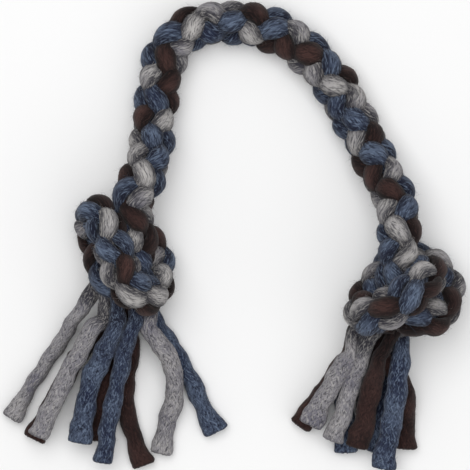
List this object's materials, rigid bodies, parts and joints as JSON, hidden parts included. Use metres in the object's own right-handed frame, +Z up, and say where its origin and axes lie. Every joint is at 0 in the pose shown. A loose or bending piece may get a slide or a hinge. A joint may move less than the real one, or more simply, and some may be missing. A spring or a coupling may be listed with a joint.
{
  "type": "rope dog toy",
  "caption": "Felted wool rope dog toy: cords plaited into an arched rope, an overhand knot near each end and the cords left loose as tassels, to tug and chew.",
  "frame": {"origin": "on the table, under the middle of the toy's outline", "axes": "+Z up from the table that the toy lies on, +Y towards the top of the arch, +X to the knot that lies lower"},
  "size_m": [0.2286, 0.2326, 0.0552],
  "materials": {
    "grey_wool": "matte felted wool",
    "blue_wool": "matte felted wool",
    "brown_wool": "matte felted wool"
  },
  "bodies": {
    "left_knot": {"grey_1_left_knot": "grey_wool", "grey_2_left_knot": "grey_wool", "grey_3_left_knot": "grey_wool", "blue_1_left_knot": "blue_wool", "blue_2_left_knot": "blue_wool", "blue_3_left_knot": "blue_wool", "brown_1_left_knot": "brown_wool", "brown_2_left_knot": "brown_wool", "brown_3_left_knot": "brown_wool"},
    "left_leg": {"grey_1_left_leg": "grey_wool", "grey_2_left_leg": "grey_wool", "grey_3_left_leg": "grey_wool", "blue_1_left_leg": "blue_wool", "blue_2_left_leg": "blue_wool", "blue_3_left_leg": "blue_wool", "brown_1_left_leg": "brown_wool", "brown_2_left_leg": "brown_wool", "brown_3_left_leg": "brown_wool"},
    "right_leg": {"grey_1_right_leg": "grey_wool", "grey_2_right_leg": "grey_wool", "grey_3_right_leg": "grey_wool", "blue_1_right_leg": "blue_wool", "blue_2_right_leg": "blue_wool", "blue_3_right_leg": "blue_wool", "brown_1_right_leg": "brown_wool", "brown_2_right_leg": "brown_wool", "brown_3_right_leg": "brown_wool"},
    "right_knot": {"grey_1_right_knot": "grey_wool", "grey_2_right_knot": "grey_wool", "grey_3_right_knot": "grey_wool", "blue_1_right_knot": "blue_wool", "blue_2_right_knot": "blue_wool", "blue_3_right_knot": "blue_wool", "brown_1_right_knot": "brown_wool", "brown_2_right_knot": "brown_wool", "brown_3_right_knot": "brown_wool"},
    "grey_1_left_end": {"grey_1_left_end": "grey_wool"},
    "grey_2_left_end": {"grey_2_left_end": "grey_wool"},
    "grey_3_left_end": {"grey_3_left_end": "grey_wool"},
    "blue_1_left_end": {"blue_1_left_end": "blue_wool"},
    "blue_2_left_end": {"blue_2_left_end": "blue_wool"},
    "blue_3_left_end": {"blue_3_left_end": "blue_wool"},
    "brown_1_left_end": {"brown_1_left_end": "brown_wool"},
    "brown_2_left_end": {"brown_2_left_end": "brown_wool"},
    "brown_3_left_end": {"brown_3_left_end": "brown_wool"},
    "grey_1_right_end": {"grey_1_right_end": "grey_wool"},
    "grey_2_right_end": {"grey_2_right_end": "grey_wool"},
    "grey_3_right_end": {"grey_3_right_end": "grey_wool"},
    "blue_1_right_end": {"blue_1_right_end": "blue_wool"},
    "blue_2_right_end": {"blue_2_right_end": "blue_wool"},
    "blue_3_right_end": {"blue_3_right_end": "blue_wool"},
    "brown_1_right_end": {"brown_1_right_end": "brown_wool"},
    "brown_2_right_end": {"brown_2_right_end": "brown_wool"},
    "brown_3_right_end": {"brown_3_right_end": "brown_wool"}
  },
  "joints": [
    {"name": "left_neck_bend", "type": "hinge", "parent": "left_leg", "child": "left_knot", "pos_m": [-0.04418, 0.03253, 0.01994], "axis": [0, 0, 1], "range_deg": [-20, 10]},
    {"name": "crown_bend", "type": "hinge", "parent": "left_leg", "child": "right_leg", "pos_m": [-0.006, 0.10562, 0.0101], "axis": [0, 0, 1], "range_deg": [-6, 25]},
    {"name": "right_neck_bend", "type": "hinge", "parent": "right_leg", "child": "right_knot", "pos_m": [0.08006, 0.01543, 0.02241], "axis": [0, 0, 1], "range_deg": [-10, 20]},
    {"name": "grey_1_left_end_lift", "type": "hinge", "parent": "left_knot", "child": "grey_1_left_end", "pos_m": [-0.06452, -0.03812, 0.01653], "axis": [-0.748, 0.6637, 0], "range_deg": [0, 26]},
    {"name": "grey_2_left_end_lift", "type": "hinge", "parent": "left_knot", "child": "grey_2_left_end", "pos_m": [-0.04855, -0.03548, 0.01653], "axis": [-0.6975, -0.1159, 0.7071], "range_deg": [0, 40]},
    {"name": "grey_3_left_end_lift", "type": "hinge", "parent": "left_knot", "child": "grey_3_left_end", "pos_m": [-0.06188, -0.03956, 0.02195], "axis": [-0.861, 0.5087, 0], "range_deg": [0, 40]},
    {"name": "blue_1_left_end_lift", "type": "hinge", "parent": "left_knot", "child": "blue_1_left_end", "pos_m": [-0.05611, -0.03938, 0.0242], "axis": [-0.9486, 0.3164, 0], "range_deg": [0, 40]},
    {"name": "blue_2_left_end_swing", "type": "hinge", "parent": "left_knot", "child": "blue_2_left_end", "pos_m": [-0.05119, -0.03404, 0.01111], "axis": [0, 0, 1], "range_deg": [0, 40]},
    {"name": "blue_3_left_end_lift", "type": "hinge", "parent": "left_knot", "child": "blue_3_left_end", "pos_m": [-0.05059, -0.03769, 0.02195], "axis": [-0.947, 0.1901, 0.2588], "range_deg": [0, 40]},
    {"name": "brown_1_left_end_lift", "type": "hinge", "parent": "left_knot", "child": "brown_1_left_end", "pos_m": [-0.05696, -0.03422, 0.00887], "axis": [-0.7005, -0.0963, 0.7071], "range_deg": [0, 14]},
    {"name": "brown_2_left_end_swing", "type": "hinge", "parent": "left_knot", "child": "brown_2_left_end", "pos_m": [-0.06248, -0.03592, 0.01111], "axis": [0, 0, 1], "range_deg": [0, 4]},
    {"name": "brown_3_left_end_swing", "type": "hinge", "parent": "left_knot", "child": "brown_3_left_end", "pos_m": [-0.05654, -0.0368, 0.01653], "axis": [0, 0, 1], "range_deg": [0, 2]},
    {"name": "grey_1_right_end_swing", "type": "hinge", "parent": "right_knot", "child": "grey_1_right_end", "pos_m": [0.07495, -0.0552, 0.00897], "axis": [0, 0, -1], "range_deg": [0, 2]},
    {"name": "grey_2_right_end_lift", "type": "hinge", "parent": "right_knot", "child": "grey_2_right_end", "pos_m": [0.0736, -0.05814, 0.02483], "axis": [-0.8846, 0.4664, 0], "range_deg": [0, 40]},
    {"name": "grey_3_right_end_lift", "type": "hinge", "parent": "right_knot", "child": "grey_3_right_end", "pos_m": [0.06859, -0.05532, 0.02251], "axis": [-0.7152, 0.4884, -0.5], "range_deg": [0, 40]},
    {"name": "blue_1_right_end_lift", "type": "hinge", "parent": "right_knot", "child": "blue_1_right_end", "pos_m": [0.08163, -0.06005, 0.0169], "axis": [-0.2577, 0.0241, 0.9659], "range_deg": [0, 40]},
    {"name": "blue_2_right_end_swing", "type": "hinge", "parent": "right_knot", "child": "blue_2_right_end", "pos_m": [0.07995, -0.05802, 0.01129], "axis": [0, 0, -1], "range_deg": [0, 2]},
    {"name": "blue_3_right_end_swing", "type": "hinge", "parent": "right_knot", "child": "blue_3_right_end", "pos_m": [0.06955, -0.05324, 0.01129], "axis": [0, 0, -1], "range_deg": [0, 2]},
    {"name": "brown_1_right_end_lift", "type": "hinge", "parent": "right_knot", "child": "brown_1_right_end", "pos_m": [0.06692, -0.05329, 0.0169], "axis": [-0.3918, 0.3106, -0.866], "range_deg": [0, 40]},
    {"name": "brown_2_right_end_lift", "type": "hinge", "parent": "right_knot", "child": "brown_2_right_end", "pos_m": [0.079, -0.0601, 0.02251], "axis": [-0.9374, 0.3483, 0], "range_deg": [0, 40]},
    {"name": "brown_3_right_end_swing", "type": "hinge", "parent": "right_knot", "child": "brown_3_right_end", "pos_m": [0.07427, -0.05667, 0.0169], "axis": [0, 0, 1], "range_deg": [0, 2]}
  ]
}
